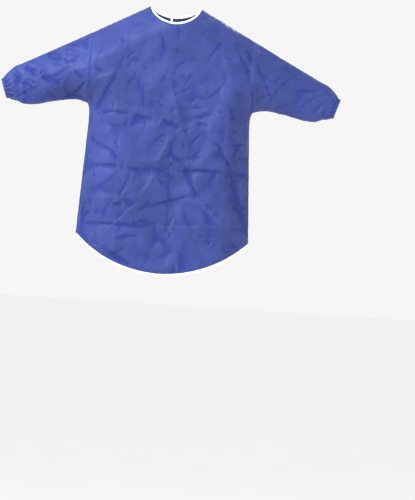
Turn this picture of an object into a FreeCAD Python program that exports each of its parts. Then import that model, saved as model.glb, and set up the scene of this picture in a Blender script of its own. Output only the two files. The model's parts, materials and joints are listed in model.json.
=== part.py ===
import FreeCAD, Part
import math
import os

# A child's art smock: front panel, two back flaps that lap at the centre back, two long
# sleeves with elastic cuffs, and bound edges. Millimetres. +Z up, the front faces -Y, the
# wearer's left is +X. The origin is the middle of the neck opening, on the shoulder line.

V = FreeCAD.Vector

CLOTH = 1.1            # coated cloth, as a closed solid
TAPE = 2.6             # folded binding over the cloth
TAPE_WIDTH = 6.0
TAPE_LIP = 0.8         # the cloth stops this far short of the binding's outer edge
NECK_HALF = 65.0
FRONT_NECK_DROP = 42.0
BACK_NECK_DROP = 25.0
TOP_SLOPE = 0.53       # fall of the shoulder and sleeve top per mm outwards
ARMHOLE_X = 213.0
ARMPIT_Z = -262.0
WAIST = (207.0, -295.0)
HEM_CORNER = (224.0, -603.0)
HEM_LOW_Z = -696.0
DEPTH = 65.0           # how far the front stands off the flat back
EDGE_RUN = 80.0        # distance over which the front rises from a seam
SIDE_END_Z = -592.0
SEAM_IN, SEAM_WIDE, SEAM_THICK = 3.0, 5.0, 0.9

FLAP_TILT = 1.6        # degrees each flap is eased off the back plane, so they lap clear
HINGE_FLAP_GAP = 2.5
HINGE_SIDE_GAP = 1.5
OUTER_LAP, INNER_LAP = 9.5, 12.0   # past the centre line at the neck
PATCH_WIDE, PATCH_TALL, PATCH_THICK = 12.0, 32.0, 0.8
PATCH_TOP_Z = -52.0

CUFF_TILT = 18.0       # degrees below horizontal
CUFF_END = V(430.0, -30.0, -238.0)
CUFF_LONG = 14.0
CUFF_BORE_R = 22.0
CUFF_OUT_R = 26.0
CASING_WALL = 1.0
ELASTIC_IN_R, ELASTIC_OUT_R, ELASTIC_LONG = 23.4, 24.6, 10.0
MITRE_BACK, MITRE_FRONT, MITRE_GAP = 10.0, 37.0, 0.6

FAR = 800.0
top_cos = 1.0 / math.hypot(1.0, TOP_SLOPE)


def top_z(x):
    """Height of the shoulder and sleeve-top line."""
    return -(abs(x) - NECK_HALF) * TOP_SLOPE


def arc_radius(half_chord, drop):
    return (half_chord ** 2 + drop ** 2) / (2 * drop)


def rise(d):
    """0 at a seam, 1 at EDGE_RUN from it, a straight line outside the seam."""
    if d < 0:
        return math.pi / 2 * d / EDGE_RUN
    return math.sin(math.pi / 2 * min(d, EDGE_RUN) / EDGE_RUN)


def to_segment(x, z, a, b):
    ux, uz = b[0] - a[0], b[1] - a[1]
    t = ((x - a[0]) * ux + (z - a[1]) * uz) / (ux * ux + uz * uz)
    t = max(0.0, min(1.0, t))
    return math.hypot(x - a[0] - t * ux, z - a[1] - t * uz)


def side_x(z):
    a, b = (WAIST, HEM_CORNER) if z < WAIST[1] else ((ARMHOLE_X, ARMPIT_Z), WAIST)
    return a[0] + (b[0] - a[0]) * (z - a[1]) / (b[1] - a[1])


def front_stand(x, z):
    """How far the front stands off the back plane."""
    x = abs(x)
    foot = (side_x(-FAR), -FAR)
    pit = (ARMHOLE_X, ARMPIT_Z)
    lines = [(foot, WAIST), (WAIST, pit), (pit, (2 * ARMHOLE_X, ARMPIT_Z))]
    low = min(to_segment(x, z, a, b) for a, b in lines)
    if z < ARMPIT_Z and x > side_x(z):
        low = -low
    return DEPTH * rise((top_z(x) - z) * top_cos) * rise(low)


def spline(points):
    curve = Part.BSplineCurve()
    curve.interpolate(points)
    return curve


def beside(curve, gap, count=30):
    """A curve at an even distance to one side, in the XZ plane."""
    first, last = curve.FirstParameter, curve.LastParameter
    points = []
    for i in range(count + 1):
        u = first + (last - first) * i / count
        t = curve.tangent(u)[0]
        points.append(curve.value(u) + V(-t.z, 0, t.x) * gap)
    return spline(points)


def slab(edges, thick, y=0.0):
    """The area inside edges drawn in the XZ plane, made thick about y."""
    face = Part.Face(Part.Wire(edges))
    face.translate(V(0, y - thick / 2, 0))
    return face.extrude(V(0, thick, 0))


def polygon(corners):
    points = [V(x, 0, z) for x, z in corners]
    return Part.makePolygon(points + points[:1]).Edges


def disc(radius, centre_z, thick):
    return Part.makeCylinder(radius, thick, V(0, -thick / 2, centre_z), V(0, 1, 0))


def main_solid(shape):
    """The piece itself, without the slivers that trimming against a neighbour leaves."""
    return max(shape.Solids, key=lambda solid: solid.Volume)


def mirrored(shape):
    return shape.mirror(V(0, 0, 0), V(1, 0, 0))


def dome(thick):
    """The rounded front as a sheet this thick, a little larger than the panel."""
    grid = []
    for i in range(25):
        x = -240.0 + 20.0 * i
        grid.append([])
        for k in range(37):
            z = 20.0 - 20.0 * k
            grid[-1].append(V(x, -front_stand(x, z) - CLOTH - thick / 2, z))
    surface = Part.BSplineSurface()
    surface.interpolate(grid)
    return surface.toShape().extrude(V(0, thick, 0))


def front_outline(inset_top=0.0, inset_side=0.0):
    right = [(NECK_HALF, -inset_top), (ARMHOLE_X - 0.2, top_z(ARMHOLE_X) - inset_top),
             (ARMHOLE_X - 0.2, ARMPIT_Z), WAIST,
             (HEM_CORNER[0] - inset_side, HEM_CORNER[1]),
             (HEM_CORNER[0] - inset_side, HEM_LOW_Z - 20)]
    left = [(-x, z) for x, z in reversed(right)]
    return slab(polygon(right + left), 400.0)


def below_hem(inset):
    """Everything under the curved front hem, the curve raised by inset."""
    hem_r = arc_radius(HEM_CORNER[0], HEM_CORNER[1] - HEM_LOW_Z)
    under = Part.makeBox(FAR, 400, 200, V(-FAR / 2, -200, HEM_CORNER[1] + 8 - 200))
    return under.cut(disc(hem_r - inset, HEM_LOW_Z + hem_r, 400))


def front_pieces():
    neck_r = arc_radius(NECK_HALF, FRONT_NECK_DROP)
    neck_z = neck_r - FRONT_NECK_DROP
    panel = dome(CLOTH).common(front_outline()).cut(below_hem(TAPE_LIP))
    panel = panel.cut(disc(neck_r + TAPE_LIP, neck_z, 400))
    tape = dome(TAPE)
    neck = tape.common(disc(neck_r + TAPE_WIDTH, neck_z, 400)).cut(disc(neck_r, neck_z, 400))
    neck = neck.common(front_outline(inset_top=2.0)).cut(panel)
    hem = tape.common(front_outline(inset_side=5.0)).common(below_hem(TAPE_WIDTH))
    hem = hem.cut(below_hem(0)).cut(panel)
    return {"front_panel": panel, "neck_binding_front": neck, "hem_binding": main_solid(hem)}


def hinge_side(gap, outward):
    """Everything on one side of the fold line from the neck point to the hem corner."""
    dx, dz = HEM_CORNER[0] - NECK_HALF, HEM_CORNER[1]
    long = math.hypot(dx, dz)
    ux, uz = dx / long, dz / long
    nx, nz = -uz, ux                       # points outwards
    sign = 1 if outward else -1
    x, z = NECK_HALF + nx * gap * sign, nz * gap * sign
    a = (x - ux * FAR, z - uz * FAR)
    b = (x + ux * 2 * FAR, z + uz * 2 * FAR)
    c = (b[0] + nx * FAR * sign, b[1] + nz * FAR * sign)
    d = (a[0] + nx * FAR * sign, a[1] + nz * FAR * sign)
    return slab(polygon([a, b, c, d]), 60.0)


def free_edge(lap):
    """Edge of a back flap, drawn for the wearer's left: it laps past the centre line."""
    run = [(-lap * 1.1, 20.0), (-lap, -BACK_NECK_DROP), (-lap * 0.72, -150.0), (0.0, -255.0),
           (25.0, -356.0), (55.0, -429.0), (96.0, -502.0), (146.0, -556.0),
           (224.0, -601.0), (262.0, -607.0)]
    return spline([V(x, 0, z) for x, z in run])


def inside_edge(curve, thick):
    first, last = curve.value(curve.FirstParameter), curve.value(curve.LastParameter)
    corner = V(last.x, 0, first.z)
    lines = [Part.makeLine(last, corner), Part.makeLine(corner, first)]
    return slab([curve.toShape()] + lines, thick)


def edge_band(curve, thick):
    inner = beside(curve, TAPE_WIDTH)
    foot = Part.makeLine(curve.value(curve.LastParameter), inner.value(inner.LastParameter))
    head = Part.makeLine(inner.value(inner.FirstParameter), curve.value(curve.FirstParameter))
    return slab([curve.toShape(), foot, inner.toShape(), head], thick)


def flap_pieces(lap, side, patch_name, patch_side):
    """One back flap with its two bindings and its fastening patch."""
    neck_r = arc_radius(NECK_HALF, BACK_NECK_DROP)
    neck_z = neck_r - BACK_NECK_DROP
    keep = hinge_side(HINGE_FLAP_GAP, outward=False)
    curve = free_edge(lap)
    panel = inside_edge(beside(curve, TAPE_LIP), CLOTH).common(keep)
    panel = panel.cut(disc(neck_r + TAPE_LIP, neck_z, 60))
    above = disc(neck_r, neck_z, 60)
    band = edge_band(curve, TAPE).common(keep).cut(above)
    ring = disc(neck_r + TAPE_WIDTH, neck_z, TAPE).cut(above).common(keep)
    ring = main_solid(ring.common(inside_edge(curve, 60)).cut(band).cut(panel))
    patch = Part.makeBox(PATCH_WIDE, PATCH_THICK, PATCH_TALL)
    y = CLOTH / 2 if patch_side > 0 else -CLOTH / 2 - PATCH_THICK
    patch.translate(V(TAPE_WIDTH - lap + 1.5, y, PATCH_TOP_Z - PATCH_TALL))
    made = {"back_flap_" + side: panel, "neck_binding_back_" + side: ring,
            "back_edge_binding_" + side: band.cut(panel), patch_name: patch}
    tilt = FLAP_TILT if side == "right" else -FLAP_TILT
    axis = V(HEM_CORNER[0] - NECK_HALF, 0, HEM_CORNER[1])
    for name, shape in made.items():
        shape = shape.copy()
        shape.rotate(V(NECK_HALF, 0, 0), axis, tilt)
        made[name] = mirrored(shape) if side == "right" else shape
    return made


def seam_strip(a, b, y_top):
    """A flat seam allowance on the inside of a seam that runs from a to b."""
    ux, uz = b[0] - a[0], b[1] - a[1]
    long = math.hypot(ux, uz)
    nx, nz = uz / long, -ux / long         # towards the inside when a to b runs outwards
    near, far = SEAM_IN, SEAM_IN + SEAM_WIDE
    corners = [(a[0] + nx * near, a[1] + nz * near), (b[0] + nx * near, b[1] + nz * near),
               (b[0] + nx * far, b[1] + nz * far), (a[0] + nx * far, a[1] + nz * far)]
    return slab(polygon(corners), SEAM_THICK, y_top - SEAM_THICK / 2)


# Outline of the wearer's left sleeve: top and underarm points at each station.
SLEEVE_TOP = [ARMHOLE_X, 250.0, 300.0, 350.0, 383.0, 402.0]
SLEEVE_UNDER = [(ARMHOLE_X, ARMPIT_Z), (245.0, -255.0), (295.0, -262.0), (343.0, -273.0),
                (374.0, -275.0), (392.0, -269.0)]
SHARP_TIP = 1.1        # extra wall left where the two faces of a flat section meet
cuff_dir = V(math.cos(math.radians(CUFF_TILT)), 0, -math.sin(math.radians(CUFF_TILT)))
cuff_up = V(-cuff_dir.z, 0, cuff_dir.x)
cuff_start = CUFF_END - cuff_dir * CUFF_LONG


def sleeve_stations():
    found = [(V(x, 0, top_z(x)), V(u[0], 0, u[1])) for x, u in zip(SLEEVE_TOP, SLEEVE_UNDER)]
    rim = V(cuff_start.x, 0, cuff_start.z)
    found.append((rim + cuff_up * CUFF_OUT_R, rim - cuff_up * CUFF_OUT_R))
    return found


def sleeve_section(k, inset):
    """Wire of one station: a flat-backed bow at the armhole, a circle at the cuff."""
    stations = sleeve_stations()
    top, under = stations[k]
    m = k / (len(stations) - 1.0)
    m = m * m * (3 - 2 * m)
    half = (top - under).Length / 2
    up = (top - under).normalize()
    middle = (top + under) / 2
    reach = half - inset * (1 + SHARP_TIP * (1 - m))
    y0 = -(CLOTH / 2 + inset) * (1 - m) + CUFF_END.y * m
    front = (DEPTH + CLOTH) * (1 - m) + CUFF_OUT_R * m - inset * (2 - m)
    back = CLOTH * (1 - m) + (CUFF_OUT_R - inset) * m

    def point(angle, bow):
        v = math.cos(angle)
        round_part = math.sin(angle)
        if bow:
            full = rise((1 - v) * half * top_cos) * rise((1 + v) * half)
            y = y0 - front * ((1 - m) * full + m * round_part)
        else:
            y = y0 + back * round_part
        return middle + up * (reach * v) + V(0, y, 0)

    steps = [math.pi * i / 14 for i in range(15)]
    fore = spline([point(a, True) for a in steps])
    aft = spline([point(a, False) for a in reversed(steps)])
    return Part.Wire([fore.toShape(), aft.toShape()])


def sleeve_tube():
    count = len(sleeve_stations())
    outer = Part.makeLoft([sleeve_section(k, 0.0) for k in range(count)], True, False)
    inner = Part.makeLoft([sleeve_section(k, CLOTH) for k in range(count)], True, False)
    return outer.cut(inner)


def mitre(outward):
    """The side of the slanting cut that lets the sleeve swing at the armhole."""
    gap = MITRE_GAP / 2 * (1 if outward else -1)
    back, front = ARMHOLE_X + MITRE_BACK + gap, ARMHOLE_X + MITRE_FRONT + gap
    slope = (front - back) / (DEPTH + 1.0)
    edge = FAR if outward else 0.0
    corners = [V(back - 40 * slope, 40, -FAR), V(front + 80 * slope, -DEPTH - 81, -FAR),
               V(edge, -DEPTH - 81, -FAR), V(edge, 40, -FAR)]
    face = Part.Face(Part.makePolygon(corners + corners[:1]))
    return face.extrude(V(0, 0, 2 * FAR))


def underarm_strip(sleeve):
    """Seam allowance that stands up inside the sleeve along its underarm seam."""
    count = len(sleeve_stations())
    wires = []
    for k in range(1, count):
        top, under = sleeve_stations()[k]
        m = k / (count - 1.0)
        m = m * m * (3 - 2 * m)
        up = (top - under).normalize()
        y0 = -CLOTH / 2 * (1 - m) + CUFF_END.y * m
        low, high = under + up * 0.3, under + up * (SEAM_IN + SEAM_WIDE)
        ys = (y0 - SEAM_THICK, y0)
        corners = [low + V(0, ys[0], 0), high + V(0, ys[0], 0),
                   high + V(0, ys[1], 0), low + V(0, ys[1], 0)]
        wires.append(Part.makePolygon(corners + corners[:1]))
    return Part.makeLoft(wires, True, True).cut(sleeve)


def ring(inner_r, outer_r, start, long):
    """A tube on the cuff's axis, its start measured outwards from the cuff's inner end."""
    base = cuff_start + cuff_dir * start
    tube = Part.makeCylinder(outer_r, long, base, cuff_dir)
    return tube.cut(Part.makeCylinder(inner_r, long + 2, base - cuff_dir, cuff_dir))


def sleeve_pieces():
    tube = sleeve_tube()
    sleeve = tube.common(mitre(outward=True))
    pocket = ring(CUFF_BORE_R + CASING_WALL, CUFF_OUT_R - CASING_WALL,
                  CASING_WALL, CUFF_LONG - 2 * CASING_WALL)
    return {"sleeve_head": tube.common(mitre(outward=False)), "sleeve": sleeve,
            "underarm_seam": main_solid(underarm_strip(tube).common(mitre(outward=True))),
            "cuff_casing": ring(CUFF_BORE_R, CUFF_OUT_R, 0, CUFF_LONG).cut(pocket),
            "cuff_elastic": ring(ELASTIC_IN_R, ELASTIC_OUT_R,
                                 (CUFF_LONG - ELASTIC_LONG) / 2, ELASTIC_LONG)}


def armhole_seam():
    """Seam allowance that stands inside the armhole."""
    outer = Part.Face(sleeve_section(0, CLOTH))
    inner = Part.Face(sleeve_section(0, CLOTH + SEAM_WIDE))
    plate = outer.extrude(V(-SEAM_THICK, 0, 0)).cut(inner.extrude(V(-SEAM_THICK, 0, 0)))
    plate.translate(V(-0.2, 0, 0))
    return plate


def back_side():
    corners = [(NECK_HALF, 0.0), (ARMHOLE_X - 0.2, top_z(ARMHOLE_X)),
               (ARMHOLE_X - 0.2, ARMPIT_Z), WAIST, (side_x(SIDE_END_Z), SIDE_END_Z),
               (NECK_HALF, SIDE_END_Z)]
    return slab(polygon(corners), CLOTH).common(hinge_side(HINGE_SIDE_GAP, outward=True))


def all_pieces():
    pieces = front_pieces()
    shoulder = seam_strip((NECK_HALF + 15, top_z(NECK_HALF + 15)),
                          (ARMHOLE_X - 6, top_z(ARMHOLE_X - 6)), -CLOTH / 2)
    side = seam_strip((WAIST[0], WAIST[1] - 2), (side_x(-545.0), -545.0), -CLOTH / 2)
    paired = {"back_side": back_side(), "shoulder_seam": shoulder, "side_seam": side}
    back = paired["back_side"]
    pieces["front_panel"] = main_solid(pieces["front_panel"].cut(back).cut(mirrored(back)))
    paired["armhole_seam"] = main_solid(armhole_seam().cut(pieces["front_panel"]).cut(back))
    paired.update(sleeve_pieces())
    for name, shape in paired.items():
        pieces[name + "_left"] = shape
        pieces[name + "_right"] = mirrored(shape)
    pieces.update(flap_pieces(OUTER_LAP, "right", "hook_patch", -1))
    pieces.update(flap_pieces(INNER_LAP, "left", "loop_patch", 1))
    return pieces


os.makedirs("parts", exist_ok=True)
for node, shape in all_pieces().items():
    shape.exportStep("parts/" + node + ".step")
    print(node, "solids", len(shape.Solids), "valid", shape.isValid(),
          "volume", round(shape.Volume / 1000, 2), "cm3")
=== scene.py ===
import json
import math

import bpy
import numpy as np
from mathutils import Matrix, Vector
from mathutils.geometry import delaunay_2d_cdt


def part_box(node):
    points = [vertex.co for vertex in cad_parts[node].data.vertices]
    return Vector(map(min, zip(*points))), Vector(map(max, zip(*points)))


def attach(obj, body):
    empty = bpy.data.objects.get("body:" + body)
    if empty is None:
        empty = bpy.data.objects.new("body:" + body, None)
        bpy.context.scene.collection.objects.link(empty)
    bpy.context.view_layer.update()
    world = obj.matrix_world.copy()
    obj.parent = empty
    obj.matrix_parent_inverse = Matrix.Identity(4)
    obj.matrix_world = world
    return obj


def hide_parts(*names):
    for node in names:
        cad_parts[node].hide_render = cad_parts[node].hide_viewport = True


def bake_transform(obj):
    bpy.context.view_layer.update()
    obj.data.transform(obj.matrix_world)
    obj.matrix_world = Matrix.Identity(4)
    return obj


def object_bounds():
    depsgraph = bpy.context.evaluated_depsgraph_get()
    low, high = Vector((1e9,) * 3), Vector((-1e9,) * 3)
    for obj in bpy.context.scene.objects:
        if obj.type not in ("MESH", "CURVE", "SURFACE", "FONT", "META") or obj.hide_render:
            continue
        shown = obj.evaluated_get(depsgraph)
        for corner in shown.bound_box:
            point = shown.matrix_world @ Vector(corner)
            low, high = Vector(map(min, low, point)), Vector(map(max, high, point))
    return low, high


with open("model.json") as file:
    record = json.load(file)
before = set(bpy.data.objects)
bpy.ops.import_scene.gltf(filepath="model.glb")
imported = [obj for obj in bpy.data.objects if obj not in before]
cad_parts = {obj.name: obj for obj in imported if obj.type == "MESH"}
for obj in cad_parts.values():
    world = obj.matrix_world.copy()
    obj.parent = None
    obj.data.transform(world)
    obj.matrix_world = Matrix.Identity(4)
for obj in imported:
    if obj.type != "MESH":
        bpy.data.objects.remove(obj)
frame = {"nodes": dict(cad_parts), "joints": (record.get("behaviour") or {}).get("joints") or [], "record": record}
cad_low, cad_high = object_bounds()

MM = 0.001
joints = {j["name"]: j for j in frame["joints"]}
mounts = {m["name"]: m for m in frame["record"]["mounts"]}


def node_box(name):
    """Lowest and highest corner of a CAD node, in millimetres."""
    low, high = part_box(name)
    return np.array(low) / MM, np.array(high) / MM


# ---------------- sizes, from the frame, in mm
NECK = joints["left_flap_open"]["pos_m"][0] / MM
ARM_X = joints["left_sleeve_swing"]["pos_m"][0] / MM
fold_axis = np.array(joints["left_flap_open"]["axis"])
head_low, head_high = node_box("sleeve_head_left")
PIT_Z, SHOULDER_Z = head_low[2], head_high[2]
front_low, front_high = node_box("front_panel")
HEM_X = front_high[0]
HEM_Z = (HEM_X - NECK) / fold_axis[0] * fold_axis[2]
HEM_LOW = node_box("hem_binding")[0][2]
TAPE_W = 6.0
BACK_NECK_HIGHER = 17.0  # the back neckline drops this much less than the front one
FRONT_DROP = -node_box("neck_binding_front")[0][2] - TAPE_W
BACK_DROP = FRONT_DROP - BACK_NECK_HIGHER
FRONT_SKIN = 1.7         # the cloth here stands this far inside the front panel's box
DEPTH = -front_low[1] - FRONT_SKIN
SLOPE = -SHOULDER_Z / (ARM_X - NECK)
SLOPE_COS = 1 / math.hypot(1, SLOPE)
WAIST_IN = 6.0           # the sides come in this far below the armholes
WAIST_X = ARM_X - WAIST_IN
RUN = 80.0               # distance over which the front rises from a seam
LAP = {"right": 9.5, "left": 12.0}      # past the centre line at the neck
FLAP_BEND = 22.0         # a back flap's second bend point stands this far from its fold line
SLEEVE_BEND = 87.0       # a sleeve's second bend point stands this far from the armhole
FLAP_TILT = math.tan(math.radians(1.6))
cuff = mounts["left_cuff"]
CUFF_R = cuff["dims"]["r_mm"]
CUFF_OUT = CUFF_R + 4.0
cuff_dir = np.array(cuff["axis"], float)
cuff_mid = np.array(cuff["pos_m"], float) / MM
cuff_up = np.array([-cuff_dir[2], 0, cuff_dir[0]])
SIDES = (("left", 1.0), ("right", -1.0))

# ---------------- smooth noise on a plane
noise_tables = {}


def noise2(x, y, seed):
    """Smooth gradient noise, about -1 to 1, one cell per unit."""
    if seed not in noise_tables:
        rng = np.random.RandomState(seed)
        noise_tables[seed] = (rng.permutation(256), rng.rand(256) * 2 * math.pi)
    perm, angle = noise_tables[seed]
    xi, yi = np.floor(x).astype(int), np.floor(y).astype(int)
    xf, yf = x - xi, y - yi
    u, v = (f * f * f * (f * (f * 6 - 15) + 10) for f in (xf, yf))

    def corner(dx, dy):
        a = angle[perm[(perm[(xi + dx) & 255] + yi + dy) & 255]]
        return np.cos(a) * (xf - dx) + np.sin(a) * (yf - dy)

    low = corner(0, 0) * (1 - u) + corner(1, 0) * u
    high = corner(0, 1) * (1 - u) + corner(1, 1) * u
    return (low * (1 - v) + high * v) * 1.5


def smooth(t):
    t = np.clip(t, 0.0, 1.0)
    return t * t * (3 - 2 * t)


def unit(v):
    """Vectors brought to length 1."""
    return v / np.maximum(np.linalg.norm(v, axis=-1, keepdims=True), 1e-9)


def run_along(points):
    """How far along a line each of its points is."""
    return np.concatenate([[0], np.cumsum(np.linalg.norm(np.diff(points, axis=0), axis=1))])


def read_at(at, run, values):
    """What a line's values are at other distances along it."""
    return np.stack([np.interp(at, run, values[:, k]) for k in range(values.shape[1])], -1)


# ---------------- outlines
def top_z(x):
    return -(np.abs(x) - NECK) * SLOPE


def half_width(z):
    """Half the body's width at a height: the armhole line, then the side seam."""
    z = np.asarray(z, float)
    below = WAIST_X + WAIST_IN * np.exp(-(PIT_Z - z) / 14.0)
    below = below + (HEM_X - WAIST_X) * np.clip((PIT_Z - 23 - z) / (PIT_Z - 23 - HEM_Z), 0, 1.3)
    return np.where(z >= PIT_Z, ARM_X, below)


def arc_z(x, half, drop):
    """A curved neckline that drops from (half, 0) to (0, -drop)."""
    r = (half ** 2 + drop ** 2) / (2 * drop)
    return r - drop - np.sqrt(np.maximum(r * r - np.asarray(x, float) ** 2, 0))


def hem_z(x):
    return HEM_Z + arc_z(x, HEM_X, HEM_Z - HEM_LOW)


def rise(d):
    return np.where(d < 0, math.pi / 2 * d / RUN, np.sin(math.pi / 2 * np.clip(d, 0, RUN) / RUN))


side_line = [(float(half_width(z)), z) for z in np.linspace(HEM_LOW - 60, PIT_Z, 60)]
side_line.append((2 * ARM_X, PIT_Z))


def stand_off(x, z):
    """How far the front stands off the flat back."""
    x = np.abs(x)
    low = np.full(np.shape(x), 1e9)
    for a, b in zip(side_line, side_line[1:]):
        ux, uz = b[0] - a[0], b[1] - a[1]
        t = np.clip(((x - a[0]) * ux + (z - a[1]) * uz) / (ux * ux + uz * uz), 0, 1)
        low = np.minimum(low, np.hypot(x - a[0] - t * ux, z - a[1] - t * uz))
    low = np.where((z < PIT_Z) & (x > half_width(z)), -low, low)
    return DEPTH * rise((top_z(x) - z) * SLOPE_COS) * rise(low)


def chord_spline(points, count):
    """count + 1 points spaced evenly along a smooth curve through the given ones."""
    p = np.array(points, float)
    padded = np.vstack([2 * p[0] - p[1], p, 2 * p[-1] - p[-2]])
    dense = []
    for i in range(len(p) - 1):
        a, b, c, d = padded[i:i + 4]
        for t in np.linspace(0, 1, 24, endpoint=False):
            dense.append(0.5 * (2 * b + (c - a) * t + (2 * a - 5 * b + 4 * c - d) * t * t
                                + (3 * b - a - 3 * c + d) * t ** 3))
    dense = np.array(dense + [p[-1]])
    run = run_along(dense)
    return read_at(np.linspace(0, run[-1], count + 1), run, dense)


# ---------------- grids of the cloth, in mm
NECK_CELLS, SHOULDER_CELLS, BACK_NECK_CELLS = 13, 29, 17
LOW_ROWS, ARM_ROWS = 86, 46
SEAM_STEP = 1.4          # the last row of cells beside a seam
half_x = np.concatenate([np.linspace(0, NECK, NECK_CELLS + 1),
                         np.linspace(NECK, ARM_X - SEAM_STEP, SHOULDER_CELLS + 1)[1:], [ARM_X]])
pit_v = (PIT_Z - HEM_Z) / (SHOULDER_Z - HEM_Z)
row_v = np.concatenate([np.linspace(0, pit_v, LOW_ROWS + 1),
                        np.linspace(pit_v, 1, ARM_ROWS + 1)[1:]])
row_side_z = HEM_Z + row_v * (SHOULDER_Z - HEM_Z)
row_half = half_width(row_side_z)
ROWS = LOW_ROWS + ARM_ROWS


def front_grid():
    u = np.concatenate([-half_x[::-1], half_x[1:]]) / ARM_X
    top_x = u * ARM_X
    top = np.where(np.abs(top_x) < NECK, arc_z(top_x, NECK, FRONT_DROP), top_z(top_x))
    low = hem_z(u * HEM_X)
    z = low[None] + row_v[:, None] * (top - low)[None]
    x = u[None] * row_half[:, None]
    y = -stand_off(x, z)
    y[:LOW_ROWS + 1, 0] = 0
    y[:LOW_ROWS + 1, -1] = 0
    return np.stack([x, y, z], 2)


def free_edge(lap):
    """The back panel's free edge from the hem corner up to the neck, for the wearer's left."""
    neck_z = float(arc_z(lap, NECK, BACK_DROP))
    run = [(HEM_X, HEM_Z), (146.0, -556.0), (96.0, -502.0), (55.0, -429.0), (25.0, -356.0),
           (0.0, -255.0), (-lap * 0.72, -150.0), (-lap, neck_z)]
    return chord_spline(run, ROWS)


def back_grid(side, sign):
    lap = LAP[side]
    shoulder_x = half_x[::-1][:SHOULDER_CELLS + 2]
    neck_x = np.linspace(NECK, -lap, BACK_NECK_CELLS + 1)[1:]
    top_x = np.concatenate([shoulder_x, neck_x])
    top = np.where(top_x < NECK, arc_z(top_x, NECK, BACK_DROP), top_z(top_x))
    edge = free_edge(lap)
    t = np.stack([top_x, top], 1)
    step = run_along(t)
    s = (step / step[-1])[None, :, None]
    side_pts = np.stack([row_half, row_side_z], 1)[:, None]
    edge_pts = edge[:, None]
    chord = (1 - s) * side_pts + s * edge_pts
    bulge = t[None] - ((1 - s) * side_pts[-1:] + s * edge_pts[-1:])
    p = chord + (row_v[:, None, None] ** 2) * bulge
    x, z = p[..., 0], p[..., 1]
    off_fold = (x - NECK) * fold_axis[2] - z * fold_axis[0]     # positive towards the centre
    tilt = FLAP_TILT if side == "right" else -FLAP_TILT
    y = tilt * np.maximum(off_fold, 0)
    return np.stack([sign * x, y, z], 2), off_fold


SLEEVE_TOP = [ARM_X, 250.0, 300.0, 350.0, 385.0, 409.0]
SLEEVE_UNDER = [(ARM_X, PIT_Z), (245.0, -255.0), (295.0, -262.0), (343.0, -273.0),
                (374.0, -275.0), (392.0, -269.0)]
CLOTH_END = 0.5          # the sleeve's cloth stops this far short of the cuff's middle
RIM_R = CUFF_OUT + 0.6
cloth_end = cuff_mid - cuff_dir * CLOTH_END
SLEEVE_CELLS = 58


def sleeve_grid(front, sign):
    """Rows run from the underarm to the top, columns from the armhole to the cuff."""
    rim = cloth_end[[0, 2]]
    up = cuff_up[[0, 2]]
    tops = [(x, float(top_z(x))) for x in SLEEVE_TOP] + [tuple(rim + up * RIM_R)]
    lows = list(SLEEVE_UNDER) + [tuple(rim - up * RIM_R)]
    long = chord_spline(tops, 200), chord_spline(lows, 200)
    even = np.concatenate([[0, 0.007], np.linspace(0.007, 0.72, 35)[1:],
                           np.linspace(0.72, 1.0, SLEEVE_CELLS - 34)[1:]])
    top, low = (read_at(even, np.linspace(0, 1, 201), c) for c in long)
    m = smooth(even)[None, :]
    mid, half = (top + low) / 2, np.linalg.norm(top - low, axis=1) / 2
    up_dir = (top - low) / (2 * half[:, None])
    flat = (row_side_z[LOW_ROWS:] - PIT_Z) / (SHOULDER_Z - PIT_Z) * 2 - 1
    turned = -np.cos(np.linspace(0, math.pi, ARM_ROWS + 1))
    v = flat[:, None] * (1 - m) + turned[:, None] * m
    ring = np.sqrt(np.maximum(1 - v * v, 0))
    y0 = cuff_mid[1] * m
    if front:
        full = rise((1 - v) * half * SLOPE_COS) * rise((1 + v) * half)
        y = y0 - (DEPTH * (1 - m) + RIM_R * m) * ((1 - m) * full + m * ring)
    else:
        y = y0 + RIM_R * m * ring
    x = mid[None, :, 0] + up_dir[None, :, 0] * v * half
    z = mid[None, :, 1] + up_dir[None, :, 1] * v * half
    return np.stack([sign * x, y, z], 2)


# ---------------- one welded cloth for the simulation
class Weld:
    """Collects grids into one vertex list, sharing the vertices of seams."""

    def __init__(self):
        self.points, self.faces, self.corners, self.size = [], [], [], 0

    def add(self, grid, shared, flip):
        index = np.full(grid.shape[:2], -1, int)
        for (rows, cols), given in shared:
            index[rows, cols] = given
        for at in zip(*np.nonzero(index < 0)):
            index[at] = len(self.points)
            self.points.append(grid[at])
        place = self.size + np.arange(index.size).reshape(index.shape)
        self.size += index.size
        for kept, at in ((self.faces, index), (self.corners, place)):
            quads = np.stack([at[:-1, :-1], at[:-1, 1:], at[1:, 1:], at[1:, :-1]], 2).reshape(-1, 4)
            kept.append(quads[:, ::-1] if flip else quads)
        return index


weld = Weld()
grids = {"front": front_grid()}
index = {"front": weld.add(grids["front"], [], flip=False)}
fold_distance = {}
for side, sign in SIDES:
    grid, off = back_grid(side, sign)
    fold_distance[side] = off
    f = index["front"] if sign > 0 else index["front"][:, ::-1]
    side_rows = f[:LOW_ROWS + 1, -1]
    shoulder = f[-1, ::-1][:SHOULDER_CELLS + 2]
    corner = np.full(grid.shape[1], f[0, -1])
    name = "back_" + side
    grids[name] = grid
    index[name] = weld.add(grid, [((slice(0, LOW_ROWS + 1), 0), side_rows),
                                  ((0, slice(None)), corner),
                                  ((-1, slice(0, len(shoulder))), shoulder)], flip=sign < 0)
    fore, aft = sleeve_grid(True, sign), sleeve_grid(False, sign)
    fore_i = weld.add(fore, [((slice(None), 0), f[LOW_ROWS:, -1])], flip=sign < 0)
    aft_i = weld.add(aft, [((slice(None), 0), index[name][LOW_ROWS:, 0]),
                           ((0, slice(1, None)), fore_i[0, 1:]),
                           ((-1, slice(1, None)), fore_i[-1, 1:])], flip=sign > 0)
    grids["fore_" + side], grids["aft_" + side] = fore, aft
    index["fore_" + side], index["aft_" + side] = fore_i, aft_i
cloth = np.array(weld.points)


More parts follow.
